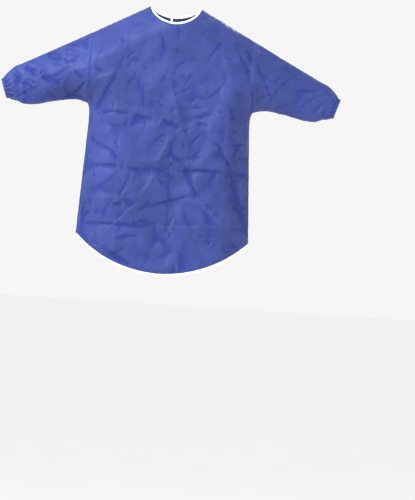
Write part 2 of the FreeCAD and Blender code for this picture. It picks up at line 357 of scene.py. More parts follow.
# ---------------- cloth simulation
def new_object(name, mesh):
    obj = bpy.data.objects.new(name, mesh)
    bpy.context.scene.collection.objects.link(obj)
    return obj


def tidy_faces(weld):
    """Faces with repeated vertices dropped, and the grid place of each of their corners."""
    faces, places = [], []
    for quad, corners in zip(np.vstack(weld.faces).tolist(), np.vstack(weld.corners).tolist()):
        kept = [k for k in range(4) if quad[k] != quad[k - 1]]
        if len(kept) >= 3:
            faces.append([quad[k] for k in kept])
            places.extend(corners[k] for k in kept)
    return faces, places


def grid_spacing_weight(count, near, far):
    """1 at both ends of a grid line, 0 away from them."""
    i = np.arange(count)
    return np.clip(np.maximum(1 - (i - near) / 2.0, 1 - (count - 1 - far - i) / 2.0), 0, 1)


def pin_weights():
    """How firmly each vertex holds its place: 1 at seams and bound edges, down to 0 between them."""
    hold = np.full(len(cloth), 0.0)

    def set_min(idx, value):
        np.maximum.at(hold, idx.ravel(), np.broadcast_to(value, idx.shape).ravel())

    for name, idx in index.items():
        rows = grid_spacing_weight(idx.shape[0], 1, 1)[:, None]
        cols = grid_spacing_weight(idx.shape[1], 1, 1)[None, :]
        set_min(idx, np.maximum(rows, cols))
        if name.startswith("back"):
            side = name[5:]
            near_fold = np.clip(1.4 - fold_distance[side] ** 2 / 900.0, 0, 1)
            narrow = np.clip(1.5 - np.arange(idx.shape[0]) / 14.0, 0, 1)[:, None]
            set_min(idx, np.maximum(near_fold * 0.6, narrow))
    return hold


LEAST_HOLD, MORE_HOLD = 0.42, 0.58      # the pin weight between the seams, and what a seam adds


def simulate(points, faces, hold, frames, grow):
    """The points after the cloth has grown a little, pinned and without gravity."""
    mesh = bpy.data.meshes.new("cloth_sim")
    mesh.from_pydata((points * MM).tolist(), [], faces)
    obj = new_object("cloth_sim", mesh)
    group = obj.vertex_groups.new(name="pin")
    weight = np.clip(LEAST_HOLD + MORE_HOLD * hold, 0, 1)
    levels = np.round(weight * 40).astype(int)
    for level in np.unique(levels):
        group.add(np.nonzero(levels == level)[0].tolist(), level / 40.0, "REPLACE")
    mod = obj.modifiers.new("Cloth", "CLOTH")
    c = mod.settings
    c.quality = 5
    c.mass = 0.15
    c.tension_stiffness = c.compression_stiffness = 25.0
    c.shear_stiffness = 12.0
    c.bending_stiffness = 4.0
    c.tension_damping = c.compression_damping = 8.0
    c.vertex_group_mass = "pin"
    c.pin_stiffness = 1.0
    c.shrink_min = -grow
    c.effector_weights.gravity = 0.0
    mod.collision_settings.use_collision = False
    mod.collision_settings.use_self_collision = False
    mod.point_cache.frame_start, mod.point_cache.frame_end = 1, frames
    for f in range(1, frames + 1):
        bpy.context.scene.frame_set(f)
    done = obj.evaluated_get(bpy.context.evaluated_depsgraph_get()).to_mesh()
    out = np.empty(len(done.vertices) * 3)
    done.vertices.foreach_get("co", out)
    bpy.data.objects.remove(obj)
    bpy.context.scene.frame_set(1)
    return out.reshape(-1, 3) / MM


SIM_FRAMES, SIM_GROWTH = 22, 0.011
MOST_MOVED = 9.0         # mm, a limit on how far the simulation may take a point
MOVE_SCALE = 1.35        # its movement, made larger
rough = cloth.copy()
hold = pin_weights()
loose = 1 - hold
rough[:, 1] += loose * 1.6 * noise2(cloth[:, 0] / 34, cloth[:, 2] / 41, 5)
rough[:, 1] += loose * 0.7 * noise2(cloth[:, 0] / 13 + 7, cloth[:, 2] / 15, 6)
settled = simulate(rough, tidy_faces(weld)[0], hold, SIM_FRAMES, SIM_GROWTH)
moved = settled - cloth
size = np.linalg.norm(moved, axis=1, keepdims=True)
settled = cloth + moved * np.minimum(1, MOST_MOVED / np.maximum(size, 1e-6))


# ---------------- fine grids: seams, creases, wrinkles
def refine(a):
    """Doubles a grid both ways, along smooth curves through its points."""
    for axis in (0, 1):
        a = np.moveaxis(a, axis, 0)
        wide = np.concatenate([2 * a[:1] - a[1:2], a, 2 * a[-1:] - a[-2:-1]])
        out = np.empty((2 * len(a) - 1,) + a.shape[1:])
        out[::2] = a
        out[1::2] = (9 * (wide[1:-2] + wide[2:-1]) - wide[:-3] - wide[3:]) / 16
        a = np.moveaxis(out, 0, axis)
    return a


def match_seams(g):
    """Panels that are sewn together get the same points along their seam."""
    low, top = 2 * LOW_ROWS, 2 * (SHOULDER_CELLS + 1) + 1
    for side, sign in SIDES:
        front = g["front"] if sign > 0 else g["front"][:, ::-1]
        back, fore, aft = (g[part + side] for part in ("back_", "fore_", "aft_"))
        back[:low + 1, 0] = front[:low + 1, -1]
        back[-1, :top] = front[-1, ::-1][:top]
        back[0] = front[0, -1]
        fore[:, 0] = front[low:, -1]
        aft[:, 0] = back[low:, 0]
        aft[0], aft[-1] = fore[0], fore[-1]


def facing(name):
    """1 where a grid's own normal points out of the garment."""
    return -1 if name in ("back_right", "fore_right", "aft_left") else 1


def normals(p, name):
    return unit(np.cross(np.gradient(p, axis=1), np.gradient(p, axis=0)) * facing(name))


def border_distances(p):
    """Distances along the grid lines from the low, high, first and last border."""
    along = np.linalg.norm(np.diff(p, axis=0), axis=2)
    across = np.linalg.norm(np.diff(p, axis=1), axis=2)
    low = np.concatenate([np.zeros((1, p.shape[1])), np.cumsum(along, 0)])
    first = np.concatenate([np.zeros((len(p), 1)), np.cumsum(across, 1)], 1)
    return low, low[-1:] - low, first, first[:, -1:] - first


def strokes(u, v, seed, count, length, width, height, heading, spread=24):
    """Random soft ridges and furrows; heading gives their direction in degrees at a place."""
    rng = np.random.RandomState(seed)
    total = np.zeros(u.shape)
    for _ in range(count):
        cu, cv = rng.uniform(u.min(), u.max()), rng.uniform(v.min(), v.max())
        angle = math.radians(heading(cu, cv) + rng.normal(0, spread))
        long, wide = length * rng.uniform(0.45, 1.5), width * rng.uniform(0.55, 1.6)
        tall = height * rng.uniform(0.35, 1.0) * rng.choice([1, -1, -1])
        bow = rng.uniform(-0.5, 0.5) / long
        a = (u - cu) * math.cos(angle) + (v - cv) * math.sin(angle)
        b = (v - cv) * math.cos(angle) - (u - cu) * math.sin(angle) - bow * a * a
        near = (np.abs(a) < long / 2) & (np.abs(b) < 3 * wide)
        fade = np.cos(math.pi * a[near] / long) ** 2
        total[near] += tall * fade * np.exp(-np.abs(b[near] / wide) ** 1.5)
    return total


def softened(a, times):
    for _ in range(times):
        for axis in (0, 1):
            a = np.moveaxis(a, axis, 0)
            wide = np.concatenate([a[:1], a, a[-1:]])
            a = np.moveaxis((wide[:-2] + 2 * a + wide[2:]) / 4, 0, axis)
    return a


def facets(x, z, cell, height, seed):
    """Flat triangles that meet in creases, as cloth has where it lay crumpled."""
    rng = np.random.RandomState(seed)
    low_x, low_z = x.min() - cell, z.min() - cell
    count_x = int((x.max() - low_x) / cell) + 2
    count_z = int((z.max() - low_z) / cell) + 2
    corners, heights = [], []
    for i in range(count_x):
        for k in range(count_z):
            jitter = rng.uniform(-0.42, 0.42, 2)
            corners.append(Vector((low_x + (i + jitter[0]) * cell, low_z + (k + jitter[1]) * cell)))
            heights.append(rng.uniform(-height, height))
    total = np.zeros(x.shape)
    for tri in delaunay_2d_cdt(corners, [], [], 0, 1e-6)[2]:
        (ax, az), (bx, bz), (cx, cz) = (corners[k] for k in tri)
        area = (bx - ax) * (cz - az) - (cx - ax) * (bz - az)
        s = ((x - ax) * (cz - az) - (cx - ax) * (z - az)) / area
        t = ((bx - ax) * (z - az) - (x - ax) * (bz - az)) / area
        within = (s >= 0) & (t >= 0) & (s + t <= 1)
        a, b, c = (heights[k] for k in tri)
        total[within] = (a + (b - a) * s + (c - a) * t)[within]
    return total


FOLD_X = (-122.0, 10.0, 150.0)                  # where the folded garment was creased in its packet
FOLD_Z = (-275.0, -422.0, -501.0, -566.0)


def fold_lines(x, z):
    """The packet's creases, some standing and some sunk, with the cloth tilting between them."""
    total = np.zeros(x.shape)
    for centres, a, b, seed, (bow, uneven), (row, strength_row), (mean, sharp, broad, reach) in (
            (FOLD_X, x, z, 31, (120.0, 70.0), (3.0, 7.0), (0.65, 1.0, 1.5, 34)),
            (FOLD_Z, z, x, 33, (110.0, 60.0), (5.0, 9.0), (0.6, 0.8, 1.1, 26))):
        for k, c in enumerate(centres):
            d = np.abs(a - c - 4 * noise2(b / bow, row * k, seed))
            strength = mean + 0.5 * noise2(b / uneven, strength_row * k, seed + 1)
            total += (-1) ** k * strength * (sharp * np.exp(-d / 5) + broad * np.exp(-d / reach))
    return total


# the largest folds: where each starts and ends as (x, z), its width and its height, all in mm
FRONT_FOLDS = [
    ((-191, -277), (-137, -168), 6.0, -3.2), ((-137, -168), (-110, -92), 9.0, -1.8),
    ((-206, -165), (-172, -179), 4.0, -1.8), ((-202, -206), (-132, -172), 9.0, 2.2),
    ((-192, -297), (-134, -286), 7.0, 2.0), ((-169, -282), (-105, -282), 4.0, -2.0),
    ((-87, -290), (-42, -293), 5.0, -2.2), ((-14, -295), (27, -313), 6.0, -2.8),
    ((53, -278), (102, -281), 3.5, -1.4), ((72, -296), (104, -304), 4.0, -1.6),
    ((-201, -350), (-122, -399), 6.0, -2.6), ((-199, -420), (-126, -418), 4.0, -2.2),
    ((9, -337), (-25, -417), 6.0, 2.4), ((5, -379), (47, -407), 9.0, -3.2),
    ((47, -407), (84, -488), 5.0, -2.8), ((-63, -497), (-24, -431), 5.0, 2.2),
    ((-137, -583), (-71, -515), 4.0, 2.0), ((-98, -423), (-42, -430), 4.5, -2.4),
    ((51, -416), (148, -421), 4.5, -2.4), ((125, -341), (172, -419), 6.0, -2.4),
    ((172, -419), (208, -542), 9.0, -3.4), ((162, -348), (210, -342), 3.0, -1.4),
    ((184, -380), (212, -377), 3.0, -1.2), ((182, -425), (215, -420), 3.0, -1.4),
    ((-35, -519), (86, -480), 7.0, -2.4), ((-132, -517), (-108, -516), 4.0, -1.8),
    ((86, -492), (159, -561), 3.0, 1.6), ((-205, -572), (-35, -569), 3.0, -1.6),
    ((-35, -569), (167, -562), 3.0, 1.2), ((-116, -606), (-61, -594), 5.0, -2.0),
    ((-153, -630), (-76, -674), 8.0, -2.4), ((-33, -68), (-15, -130), 4.0, -1.6),
    ((-6, -194), (28, -288), 4.0, 1.4), ((167, -104), (210, -173), 5.0, -2.8),
    ((194, -102), (212, -130), 4.0, -2.2)]
RIGHT_SLEEVE_FOLDS = [
    ((377, -178), (342, -202), 9.0, -4.6), ((342, -202), (286, -223), 10.0, -5.0),
    ((407, -200), (383, -215), 4.0, -2.2), ((401, -218), (366, -228), 4.0, -2.2),
    ((342, -220), (370, -247), 5.0, 2.2), ((338, -222), (398, -262), 5.0, -2.4),
    ((311, -195), (281, -173), 5.0, 2.4), ((298, -191), (261, -157), 5.0, 2.2),
    ((260, -253), (214, -203), 5.0, -3.0), ((256, -242), (222, -205), 5.0, 2.2),
    ((276, -164), (239, -133), 3.0, -1.6), ((322, -147), (287, -150), 11.0, -2.2)]
LEFT_SLEEVE_FOLDS = [
    ((214, -127), (241, -180), 4.0, -2.6), ((241, -180), (264, -235), 4.0, -2.4),
    ((269, -248), (304, -231), 5.0, -2.4), ((313, -200), (383, -192), 9.0, -3.4),
    ((376, -261), (398, -233), 5.0, 2.4), ((398, -233), (416, -232), 4.0, 2.0),
    ((368, -256), (392, -226), 5.0, -2.4), ((327, -215), (364, -223), 6.0, -1.6),
    ((240, -120), (300, -150), 9.0, 1.6)]
BACK_FOLDS = [
    ((196, -250), (92, -92), 4.6, 3.0), ((170, -256), (70, -130), 8.0, -2.4),
    ((60, -60), (24, -210), 6.0, -2.2), ((202, -330), (120, -372), 4.4, -2.8),
    ((190, -452), (104, -420), 4.0, -2.6), ((206, -540), (150, -470), 4.0, 2.4),
    ((40, -300), (110, -344), 5.0, -2.4), ((150, -300), (112, -440), 8.0, 2.2)]


def long_folds(x, z, folds, seed):
    """Creases along slightly wandering lines, steep on one side and easy on the other."""
    total = np.zeros(x.shape)
    for k, ((x0, z0), (x1, z1), width, height) in enumerate(folds):
        long = math.hypot(x1 - x0, z1 - z0)
        t = ((x - x0) * (x1 - x0) + (z - z0) * (z1 - z0)) / long ** 2
        d = ((x - x0) * (z1 - z0) - (z - z0) * (x1 - x0)) / long
        d = d + 2.2 * noise2(t * long / 38, 3.3 * k, seed)
        wide = width * (1 + 0.35 * noise2(t * long / 30, 5.1 * k, seed + 1))
        fade = np.sin(math.pi * np.clip((t + 0.06) / 1.12, 0, 1)) ** 0.7
        reach = np.where(d > 0, 2.4 * wide, 0.9 * wide)
        total += 1.35 * height * fade * np.exp(-np.sqrt(d * d + 0.6) / reach)
    return total


def seam_groove(distance):
    return -0.9 * np.exp(-(distance / 1.1) ** 2)


def pucker(distance, u, v, seed):
    """Small gathers beside a seam: u runs along it, v away from it."""
    return 1.3 * np.exp(-distance / 12) * noise2(u / 6.5, v / 60, seed)


def panel_relief(name, p):
    """Height of the fine wrinkles over a body panel, in mm."""
    x, z = p[..., 0], p[..., 2]
    low, high, first, last = border_distances(p)
    seed = {"front": 100, "back_left": 200, "back_right": 300}[name]
    out = 1 if name == "front" else -1
    edge = np.minimum(np.minimum(low, high), np.minimum(first, last))
    fade = smooth(edge / 14)
    heading = (lambda u, v: 62 + 30 * math.sin(u / 60 + v / 110)) if out > 0 else (
        lambda u, v: 110 if u < 0 else 70)
    folds = FRONT_FOLDS if out > 0 else BACK_FOLDS
    relief = 0.7 * out * fold_lines(x, z)
    relief += long_folds(x if out > 0 else np.abs(x), z, folds, seed + 20)
    relief += softened(facets(x, z, 74, 3.4, seed + 1) + facets(x, z, 31, 1.3, seed + 3), 2)
    relief += strokes(x, z, seed, 70, 80, 4.0, 1.5, heading, 30)
    relief += strokes(x, z, seed + 2, 230, 26, 2.2, 1.25, heading, 60)
    relief = relief * fade * (1.15 + 0.75 * smooth((-z - 150) / 150))
    if name == "front":
        seams = np.minimum(first, last)
        side = np.where(z < PIT_Z, 1.0, 0.3)
        relief += side * (seam_groove(seams) + pucker(seams, z, x, seed + 6))
        relief += pucker(low, x, z, seed + 7)
        shoulder = np.where(np.abs(x) > NECK, high, 1e3)
        relief = relief + seam_groove(shoulder) + pucker(high, x, z, seed + 8)
    else:
        shoulder = np.where(np.abs(x) > NECK, high, 1e3)
        relief = relief + seam_groove(np.minimum(first, shoulder)) + pucker(first, z, x, seed + 6)
        relief = relief + pucker(last, z, x, seed + 7) + pucker(high, x, z, seed + 8)
        relief[0] = 0
    return relief


def cuff_pleats(turn, near):
    """Gathers of the cuff at an angle round it; near is 1 at the elastic and 0 at their far ends."""
    count = 17
    wander = 0.5 * noise2(turn * 1.1, 2.0, 61)
    total = np.cos(count * (turn + 0.25 * wander)) + 0.45 * np.cos(count * 2.27 * turn + 1.7)
    total = total + 0.7 * noise2(turn * 5.3, 9.0, 62)
    return 0.5 * (total + np.sqrt(total * total + 0.5)) * near


def sleeve_relief(name, p, sign):
    """Height of the fine wrinkles over half a sleeve, in mm."""
    x, z = np.abs(p[..., 0]), p[..., 2]
    low, high, first, last = border_distances(p)
    front = name.startswith("fore")
    seed = (400 if front else 500) + (50 if sign > 0 else 0)
    edge = np.minimum(np.minimum(low, high) + 2, first)
    fade = smooth(edge / 16)
    relief = strokes(x, z, seed, 26, 90, 4.6, 2.0, lambda u, v: 38 + 20 * (u - 300) / 100, 20)
    relief += strokes(x, z, seed + 1, 36, 34, 2.6, 1.0, lambda u, v: 30, 55)
    folds = LEFT_SLEEVE_FOLDS if sign > 0 else RIGHT_SLEEVE_FOLDS
    relief += long_folds(x, z, folds, seed + 20)
    relief += softened(facets(x, z, 62, 3.4, seed + 2) + facets(x, z, 27, 0.9, seed + 4), 3)
    relief = relief * fade * (0.9 if sign > 0 else 1.6)
    relief = relief + 0.3 * seam_groove(first) + seam_groove(low)
    relief = relief + 0.5 * pucker(first, z, x, seed + 5) + pucker(low, x, z, seed + 6)
    turn = np.linspace(0, math.pi, p.shape[0])[:, None] * (1 if front else -1)
    reach = 34 + 22 * noise2(turn * 3.1, 4.0, 63 + (sign > 0))
    near = smooth(1 - last / reach) ** 1.3
    tuck = 1.5 * np.exp(-last / 1.2)
    return relief * (1 - 0.8 * near) + 2.4 * cuff_pleats(turn + sign, near) - tuck


fine = {}
for name, idx in index.items():
    moved = softened((settled - cloth)[idx], 3)
    fine[name] = refine(cloth[idx] + MOVE_SCALE * moved)
match_seams(fine)
crease_shade = {}
for name in fine:
    grid = fine[name]
    if name.startswith(("fore", "aft")):
        relief = sleeve_relief(name, grid, 1 if name.endswith("left") else -1)
    else:
        relief = panel_relief(name, grid)
    # painted shade: how far each point sinks below the cloth round it darkens the colour in the creases, and how
    # far it stands above lightens the ridges a little as painted light
    narrow, broad = relief - softened(relief, 10), relief - softened(relief, 40)
    crease_shade[name] = np.clip(0.5 * narrow + 0.5 * broad, -1.2, 1.2)
    fine[name] = grid + normals(grid, name) * relief[..., None]
match_seams(fine)


# ---------------- mesh helpers
def set_smooth(mesh):
    mesh.polygons.foreach_set("use_smooth", np.ones(len(mesh.polygons), bool))


def cloth_object(name, parts, outer, inner):
    """A thin two-sided cloth of welded grids, with flat coordinates in metres as its UVs, and each point's painted
    crease shade kept as an attribute.
    """
    weld, flat, first_rows, crease_shade_by_point = Weld(), [], None, {}
    for part in parts:
        grid = fine[part]
        low, _, first, _ = border_distances(grid)
        shared = []
        if part.startswith("back"):
            weld.points.append(grid[0, 0])
            shared = [((0, slice(None)), 0)]
        if part.startswith("aft"):
            shared = [((0, slice(None)), first_rows[0]), ((-1, slice(None)), first_rows[-1])]
        first_rows = weld.add(grid, shared, flip=facing(part) < 0)
        crease_shade_by_point.update(zip(first_rows.ravel().tolist(), crease_shade[part].ravel().tolist()))
        v = -low if part.startswith("aft") else low
        flat.append(np.stack([first, v], 2).reshape(-1, 2))
    faces, places = tidy_faces(weld)
    mesh = bpy.data.meshes.new(name)
    mesh.from_pydata((np.array(weld.points) * MM).tolist(), [], faces)
    layer = mesh.uv_layers.new(name="flat")
    layer.data.foreach_set("uv", (np.vstack(flat)[places] * MM).ravel())
    crease_shade_layer = mesh.attributes.new("crease_shade", "FLOAT", "POINT")
    crease_shade_layer.data.foreach_set("value", [crease_shade_by_point[k] for k in range(len(weld.points))])
    set_smooth(mesh)
    mesh.materials.append(outer)
    mesh.materials.append(inner)
    obj = new_object(name, mesh)
    thick = obj.modifiers.new("Thickness", "SOLIDIFY")
    thick.thickness = 0.4 * MM
    thick.offset = -1
    thick.material_offset = 1
    thick.material_offset_rim = 0
    return applied(obj)


def applied(obj):
    """The object with its modifiers made real."""
    made = bpy.data.meshes.new_from_object(obj.evaluated_get(bpy.context.evaluated_depsgraph_get()))
    obj.modifiers.clear()
    obj.data = made
    return obj


def mesh_object(name, points, faces, material, smooth_faces=True):
    mesh = bpy.data.meshes.new(name)
    mesh.from_pydata((np.asarray(points) * MM).tolist(), [], faces)
    if smooth_faces:
        set_smooth(mesh)
    mesh.materials.append(material)
    mesh.validate()
    return new_object(name, mesh)


def tube_faces(rings, sides, start=0, closed=False):
    """Faces of rings of points, each with so many sides, joined in order."""
    faces = []
    for i in range(rings if closed else rings - 1):
        a, b = start + i * sides, start + (i + 1) % rings * sides
        faces += [[a + k, a + (k + 1) % sides, b + (k + 1) % sides, b + k] for k in range(sides)]
    if not closed:
        faces.append([start + k for k in reversed(range(sides))])
        faces.append([start + (rings - 1) * sides + k for k in range(sides)])
    return faces


# ---------------- bound edges
class Edge:
    """A free edge of the cloth: the points going inward from each of its stations."""

    def __init__(self, lines, outward):
        self.lines = lines
        along, step = np.gradient(lines[:, 0], axis=0), unit(lines[:, 1] - lines[:, 0])
        self.out = unit(np.cross(lines[:, 2] - lines[:, 0], along)) * outward
        self.sine = np.maximum(np.linalg.norm(np.cross(unit(along), step), axis=1), 0.5)
        self.depth = np.array([run_along(line) for line in lines])
        self.length = run_along(lines[:, 0])

    def at(self, inward, off):
        """Points a distance inward along the cloth and a distance off its surface."""
        inward, off = (np.broadcast_to(v, len(self.lines)) for v in (inward, off))
        out = np.empty((len(self.lines), 3))
        for i, line in enumerate(self.lines):
            d = inward[i] / self.sine[i]
            if d < 0:
                base = line[0] + (line[0] - line[1]) / max(self.depth[i, 1], 1e-6) * -d
            else:
                base = read_at(d, self.depth[i], line)
            out[i] = base + self.out[i] * off[i]
        return out


SEWN_W = 5.0             # the tape's width once it is folded and sewn
TAPE_SECTION = [(SEWN_W, 0.25), (SEWN_W, 0.75), (SEWN_W - 0.4, 0.85), (SEWN_W / 2, 0.95),
                (0.6, 0.95), (-0.1, 0.75), (-0.45, 0.3), (-0.5, 0.0)]
TAPE_SECTION += [(a, -b) for a, b in reversed(TAPE_SECTION[:-1])] + [(1.0, -0.22), (1.0, 0.22)]


def tape(name, edge, material, seed, proud=0.0):
    """A folded tape over a bound edge, a little uneven where it is sewn."""
    run = edge.length
    wave, ripple = noise2(run / 17.0, 0.0, seed), noise2(run / 4.5, 0.0, seed + 1)
    rings = []
    for a, b in TAPE_SECTION:
        outer = abs(b) > 0.5
        lift = math.copysign(proud, b) if outer else 0.0
        swell = math.copysign(1.0, b) * (0.10 * ripple + 0.06 * wave) if outer else 0.0
        width = 0.22 * wave if a > SEWN_W - 1 else 0.0
        rings.append(edge.at(a + width, b + lift + swell - 0.2))
    points = np.stack(rings, 1)
    sides = len(TAPE_SECTION)
    return mesh_object(name, points.reshape(-1, 3), tube_faces(len(run), sides), material)


def thread_row(name, lines, material, pitch=3.4, long=2.5, radius=0.28):
    """Stitches along polylines: each is a short rounded length of thread laid on the surface."""
    points, faces = [], []
    for line, out in lines:
        run = run_along(line)
        for start in np.arange(1.5, run[-1] - long, pitch):
            rings = []
            for t, r in ((0, 0.45), (0.18, 1.0), (0.5, 1.1), (0.82, 1.0), (1, 0.45)):
                s = start + t * long
                c, n = read_at(s, run, line), read_at(s, run, out)
                side = unit(np.cross(n, read_at(s + 0.5, run, line) - c))
                sink = 0.25 * radius if t in (0, 1) else -0.1 * radius
                rings += [c - n * sink + radius * r * (math.cos(q) * side + math.sin(q) * n)
                          for q in np.linspace(0, 2 * math.pi, 6, endpoint=False)]
            faces += tube_faces(5, 6, start=len(points))
            points += rings
    return mesh_object(name, points, faces, material)


def tape_stitches(name, edge, material, proud=0.0):
    rows = []
    for face in (1, -1):
        line = edge.at(SEWN_W - 1.1, face * (0.86 + proud) - 0.2)
        rows.append((line, edge.out * face))
    return thread_row(name, rows, material)


# ---------------- materials
class Nodes:
    """Short calls for building one material's node tree."""

    def __init__(self, name):
        self.material = bpy.data.materials.new(name)
        self.material.use_nodes = True
        self.tree = self.material.node_tree
        self.shader = self.tree.nodes["Principled BSDF"]
        self.where = self.add("TexCoord").outputs["Object"]     # rest coordinates in metres

    def put(self, socket, value):
        if isinstance(value, bpy.types.NodeSocket):
            self.tree.links.new(value, socket)
        else:
            socket.default_value = value

    def add(self, kind, inputs=(), **settings):
        node = self.tree.nodes.new("ShaderNode" + kind)
        for key, value in settings.items():
            setattr(node, key, value)
        for key, value in dict(inputs).items():
            self.put(node.inputs[key], value)
        return node

    def flat(self, scale):
        """The cloth's flat coordinates in metres, scaled."""
        where = self.add("UVMap", uv_map="flat").outputs["UV"]
        return self.add("Mapping", {"Vector": where, "Scale": scale}).outputs["Vector"]

    def noise(self, vector, scale, detail=3.0, rough=0.55, warp=0.0):
        return self.add("TexNoise", {"Vector": vector, "Scale": scale, "Detail": detail,
                                     "Roughness": rough, "Distortion": warp}).outputs["Fac"]

    def ramp(self, value, stops):
        node = self.add("ValToRGB", {"Fac": value})
        ramp = node.color_ramp
        while len(ramp.elements) < len(stops):
            ramp.elements.new(0.5)
        for element, (at, colour) in zip(ramp.elements, stops):
            element.position = at
            element.color = (*colour, 1) if hasattr(colour, "__len__") else (colour,) * 3 + (1,)
        return node.outputs["Color"]

    def multiply(self, share, colour, by):
        """A colour, with a share of it multiplied by another."""
        return self.add("MixRGB", {"Fac": share, "Color1": colour, "Color2": by},
                        blend_type="MULTIPLY").outputs["Color"]

    def tones(self, value, colour, shares, at):
        """Three shares of a colour, one at each of three places in the value's range."""
        shades = [tuple(min(1, c * share) for c in colour) for share in shares]
        return self.ramp(value, list(zip(at, shades)))

    def remap(self, value, *ends):
        """The value stretched from its first two ends to its last two."""
        names = ("From Min", "From Max", "To Min", "To Max")
        return self.add("MapRange", {"Value": value, **dict(zip(names, ends))}).outputs["Result"]

    def wave(self, vector, scale, distortion, detail, direction):
        return self.add("TexWave", {"Vector": vector, "Scale": scale, "Distortion": distortion,
                                    "Detail": detail}, bands_direction=direction).outputs["Fac"]

    def weave(self, vector, threads):
        """Two crossing sets of threads, with the higher one showing."""
        across, along = (self.wave(vector, threads, 0.4, 1.0, way) for way in ("X", "Y"))
        return self.add("Math", {0: across, 1: along}, operation="MAXIMUM").outputs[0]

    def bump(self, height, strength, distance, below=None):
        inputs = {"Height": height, "Strength": strength, "Distance": distance}
        if below is not None:
            inputs["Normal"] = below
        return self.add("Bump", inputs).outputs["Normal"]

    def set(self, **values):
        for key, value in values.items():
            self.put(self.shader.inputs[key.replace("_", " ")], value)
        return self.material


BLUE = (0.0345, 0.0520, 0.208)
BLUE_INSIDE = (0.026, 0.038, 0.150)


def nylon(name, colour, rough, shine):
    n = Nodes(name)
    tone = n.tones(n.noise(n.where, 9.0, 4.0, 0.6), colour, (0.86, 1, 1.12), (0.32, 0.5, 0.68))
    threads = n.weave(n.flat((1, 1, 1)), 520.0)
    slub = n.noise(n.flat((900, 60, 1)), 1.0, 2.0)
    fine = n.multiply(0.10, tone, n.ramp(threads, [(0.2, 0.25), (0.8, 1.0)]))
    fine = n.multiply(0.06, fine, n.ramp(slub, [(0.3, 0.4), (0.7, 1.0)]))
    # painted shade and light: the colour is darkened where the cloth sinks into a crease and lightened a little on
    # its ridges
    fold = n.add("Attribute", attribute_name="crease_shade").outputs["Fac"]
    crease_shade_tint = n.ramp(n.remap(fold, -0.8, 0.8, 0.0, 1.0),
                  [(0.0, (0.25, 0.38, 0.80)), (0.44, (0.80, 0.82, 0.90)),
                   (0.56, (0.86, 0.88, 0.92)), (1.0, 1.0)])
    fine = n.multiply(0.6, fine, crease_shade_tint)
    crinkle = n.noise(n.where, 95.0, 4.0, 0.6, 0.8)
    small = n.noise(n.where, 330.0, 3.0, 0.6, 0.5)
    bumped = n.bump(threads, 0.25, 0.00012)
    bumped = n.bump(small, 0.45, 0.0004, bumped)
    bumped = n.bump(crinkle, 0.80, 0.0016, bumped)
    patchy = n.remap(n.noise(n.where, 26.0, 3.0), 0.3, 0.7, rough - 0.05, rough + 0.07)
    return n.set(Base_Color=fine, Roughness=patchy, Normal=bumped, Specular_IOR_Level=shine,
                 Sheen_Weight=0.03, Sheen_Roughness=0.4)


def woven_tape(name, colour, pitch=700.0, rough=0.85):
    n = Nodes(name)
    tone = n.tones(n.noise(n.where, 60.0, 4.0, 0.6), colour, (0.90, 1, 1.04), (0.3, 0.5, 0.7))
    bumped = n.bump(n.wave(n.where, pitch, 1.5, 2.0, "DIAGONAL"), 0.3, 0.0002)
    bumped = n.bump(n.noise(n.where, 260.0, 3.0), 0.35, 0.0005, bumped)
    return n.set(Base_Color=tone, Roughness=rough, Normal=bumped, Sheen_Weight=0.25, Sheen_Roughness=0.5,
                 Specular_IOR_Level=0.3)


def thread(name, colour):
    n = Nodes(name)
    tone = n.tones(n.noise(n.where, 400.0, 2.0), colour, (0.85, 1, 1.08), (0.3, 0.5, 0.7))
    ply = n.wave(n.where, 1400.0, 0.6, 2.0, "DIAGONAL")
    return n.set(Base_Color=tone, Roughness=0.6, Normal=n.bump(ply, 0.5, 0.0001), Sheen_Weight=0.2)


def knit_elastic(name, colour):
    n = Nodes(name)
    rib = n.wave(n.where, 480.0, 0.8, 1.0, "X")
    tone = n.tones(rib, colour, (0.72, 1, 1.1), (0.1, 0.5, 0.9))
    bumped = n.bump(n.noise(n.where, 900.0, 2.0), 0.3, 0.0002, n.bump(rib, 0.6, 0.0004))
    return n.set(Base_Color=tone, Roughness=0.8, Normal=bumped, Sheen_Weight=0.2)


def touch_tape(name, colour, cell, depth):
    n = Nodes(name)
    dots = n.add("TexVoronoi", {"Vector": n.where, "Scale": cell}).outputs["Distance"]
    tone = n.tones(dots, colour, (1.2, 1, 0.6), (0.1, 0.4, 0.8))
    return n.set(Base_Color=tone, Roughness=0.75, Normal=n.bump(dots, 0.7, depth), Sheen_Weight=0.3)


outside = nylon("blue_nylon_outside", BLUE, 0.52, 0.15)
inside = nylon("blue_nylon_coated_inside", BLUE_INSIDE, 0.6, 0.1)
white_tape = woven_tape("white_bias_tape", (0.80, 0.81, 0.83))
white_thread = thread("white_thread", (0.78, 0.79, 0.80))
blue_thread = thread("blue_thread", (0.045, 0.06, 0.30))
raw_edge = woven_tape("overlocked_seam_edge", (0.045, 0.060, 0.27), 420.0, 0.8)
elastic = knit_elastic("braided_elastic", (0.72, 0.72, 0.70))
hook_tape = touch_tape("hook_tape", (0.045, 0.06, 0.26), 900.0, 0.0004)
loop_tape = touch_tape("loop_tape", (0.05, 0.07, 0.28), 1500.0, 0.0006)


# ---------------- cloth pieces
def flat_facts(parts):
    """The flat size of the cut cloth: widest row, longest column and area, in metres."""
    wide = long = area = 0
    for part in parts:
        g = grids[part]
        low, _, first, _ = border_distances(g)
        du, dv = np.diff(g, axis=1)[:-1], np.diff(g, axis=0)[:, :-1]
        area += np.linalg.norm(np.cross(du, dv), axis=2).sum() * MM * MM
        wide, long = max(wide, first[:, -1].max()), long + low[-1].max()
    return (round(wide * MM, 3), round(long * MM, 3)), area


def point(x, y, z):
    return (x * MM, y * MM, z * MM)


def join_piece(obj, bodies, nodes=(), bend=None):
    """Hides the CAD nodes that a piece stands in for, then bakes the piece's place into its mesh where a bend is
    given, or else hangs it on its body.
    """
    if nodes:
        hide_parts(*nodes)
    if bend:
        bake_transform(obj)
    else:
        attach(obj, *bodies)
    return obj


